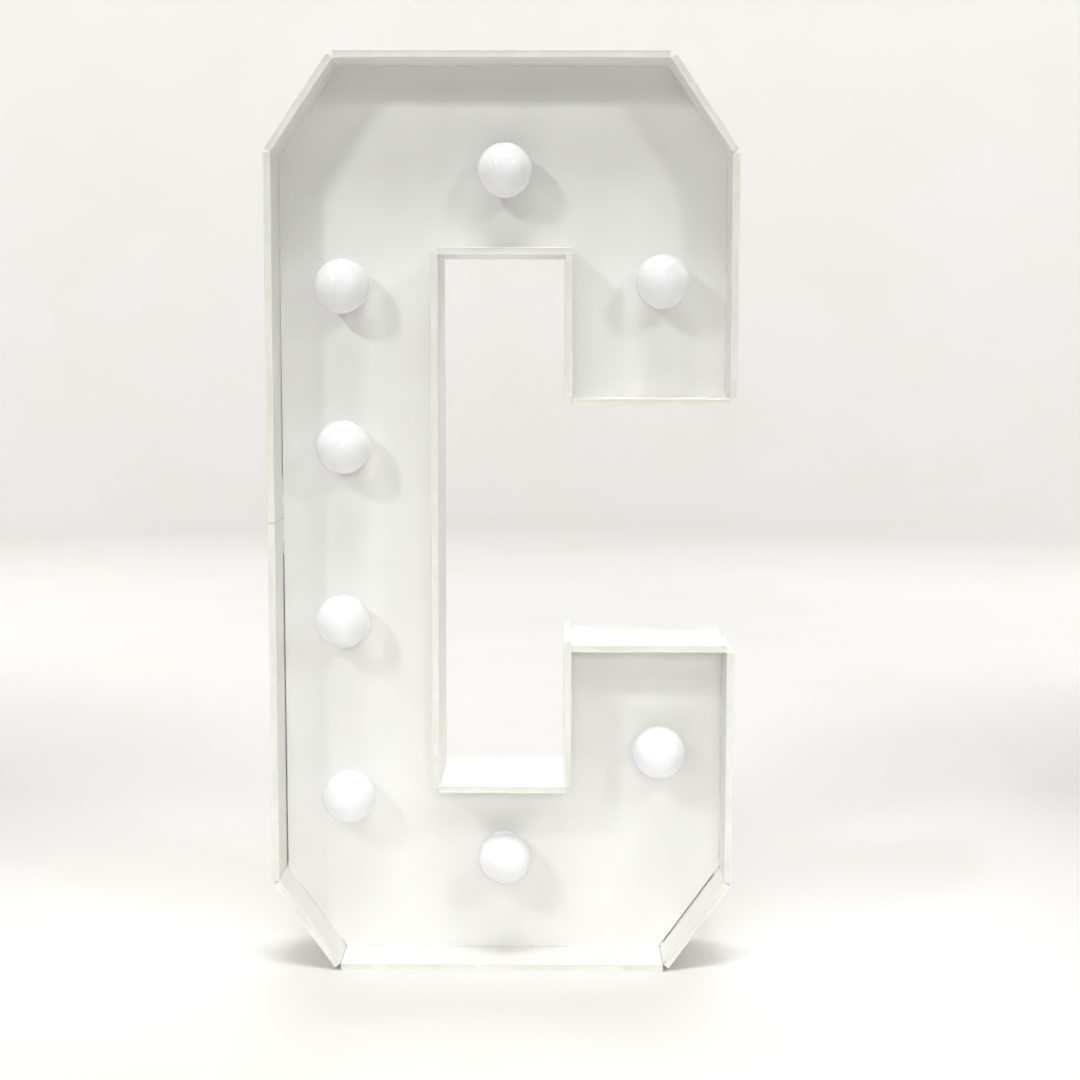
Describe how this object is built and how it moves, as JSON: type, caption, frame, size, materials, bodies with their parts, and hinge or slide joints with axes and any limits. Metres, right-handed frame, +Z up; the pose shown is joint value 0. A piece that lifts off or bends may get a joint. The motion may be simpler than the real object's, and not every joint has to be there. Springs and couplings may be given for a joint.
{
  "type": "light-up letter",
  "caption": "Free-standing block letter C of white board with a recessed face, deep strip-built sides, opal globe lamps that unscrew, and a rear switch box.",
  "frame": {"origin": "middle of the letter's foot, on the surface that it stands on", "axes": "+Z up, +X to the right seen from the front, the front faces -Y"},
  "size_m": [0.386, 0.112, 0.762],
  "materials": {
    "foam_board": "satin white skin, cream foam core on the cut edges",
    "opal_globe": "glossy opal white",
    "lamp_body": "satin white moulding",
    "cap_metal": "bright pressed metal",
    "holder_plastic": "white moulding",
    "screw_steel": "zinc plated",
    "cable_sheath": "white soft sheath",
    "clip_plastic": "white moulding",
    "box_plastic": "white moulding, fine texture",
    "switch_plastic": "black moulding",
    "pin_metal": "nickel plated"
  },
  "bodies": {
    "letter": {"face_panel": "foam_board", "wall_splice": "foam_board", "top_wall": "foam_board", "top_right_wall": "foam_board", "right_upper_wall": "foam_board", "upper_arm_end_wall": "foam_board", "upper_arm_inner_wall": "foam_board", "counter_top_wall": "foam_board", "stem_inner_wall": "foam_board", "counter_bottom_wall": "foam_board", "lower_arm_inner_wall": "foam_board", "lower_arm_end_wall": "foam_board", "right_lower_wall": "foam_board", "bottom_right_wall": "foam_board", "bottom_wall": "foam_board", "bottom_left_wall": "foam_board", "left_lower_wall": "foam_board", "left_upper_wall": "foam_board", "top_left_wall": "foam_board", "lampholder_1": "holder_plastic", "lampholder_2": "holder_plastic", "lampholder_3": "holder_plastic", "lampholder_4": "holder_plastic", "lampholder_5": "holder_plastic", "lampholder_6": "holder_plastic", "lampholder_7": "holder_plastic", "lampholder_8": "holder_plastic", "lampholder_screws": "screw_steel", "wiring_loom": "cable_sheath", "cable_clips": "clip_plastic", "switch_box": "box_plastic", "switch_box_lid": "box_plastic", "switch_body": "switch_plastic", "supply_inlet": "switch_plastic", "inlet_pins": "pin_metal"},
    "lamp_1": {"lamp_globe_1": "opal_globe", "lamp_body_1": "lamp_body", "lamp_cap_1": "cap_metal"},
    "lamp_2": {"lamp_globe_2": "opal_globe", "lamp_body_2": "lamp_body", "lamp_cap_2": "cap_metal"},
    "lamp_3": {"lamp_globe_3": "opal_globe", "lamp_body_3": "lamp_body", "lamp_cap_3": "cap_metal"},
    "lamp_4": {"lamp_globe_4": "opal_globe", "lamp_body_4": "lamp_body", "lamp_cap_4": "cap_metal"},
    "lamp_5": {"lamp_globe_5": "opal_globe", "lamp_body_5": "lamp_body", "lamp_cap_5": "cap_metal"},
    "lamp_6": {"lamp_globe_6": "opal_globe", "lamp_body_6": "lamp_body", "lamp_cap_6": "cap_metal"},
    "lamp_7": {"lamp_globe_7": "opal_globe", "lamp_body_7": "lamp_body", "lamp_cap_7": "cap_metal"},
    "lamp_8": {"lamp_globe_8": "opal_globe", "lamp_body_8": "lamp_body", "lamp_cap_8": "cap_metal"},
    "rocker": {"rocker": "switch_plastic"}
  },
  "joints": [
    {"name": "lamp_1_turn", "type": "hinge", "parent": "letter", "child": "lamp_1", "pos_m": [0.1325, 0, 0.578], "axis": [0, -1, 0], "range_deg": [0, 1080]},
    {"name": "lamp_2_turn", "type": "hinge", "parent": "letter", "child": "lamp_2", "pos_m": [0.002, 0, 0.6685], "axis": [0, -1, 0], "range_deg": [0, 1080]},
    {"name": "lamp_3_turn", "type": "hinge", "parent": "letter", "child": "lamp_3", "pos_m": [-0.1325, 0, 0.574], "axis": [0, -1, 0], "range_deg": [0, 1080]},
    {"name": "lamp_4_turn", "type": "hinge", "parent": "letter", "child": "lamp_4", "pos_m": [-0.1325, 0, 0.441], "axis": [0, -1, 0], "range_deg": [0, 1080]},
    {"name": "lamp_5_turn", "type": "hinge", "parent": "letter", "child": "lamp_5", "pos_m": [-0.134, 0, 0.294], "axis": [0, -1, 0], "range_deg": [0, 1080]},
    {"name": "lamp_6_turn", "type": "hinge", "parent": "letter", "child": "lamp_6", "pos_m": [-0.13, 0, 0.144], "axis": [0, -1, 0], "range_deg": [0, 1080]},
    {"name": "lamp_7_turn", "type": "hinge", "parent": "letter", "child": "lamp_7", "pos_m": [0.002, 0, 0.0915], "axis": [0, -1, 0], "range_deg": [0, 1080]},
    {"name": "lamp_8_turn", "type": "hinge", "parent": "letter", "child": "lamp_8", "pos_m": [0.1325, 0, 0.183], "axis": [0, -1, 0], "range_deg": [0, 1080]},
    {"name": "rocker_tip", "type": "hinge", "parent": "letter", "child": "rocker", "pos_m": [-0.086, 0.0292, 0.04], "axis": [-1, 0, 0], "range_deg": [0, 18]}
  ]
}
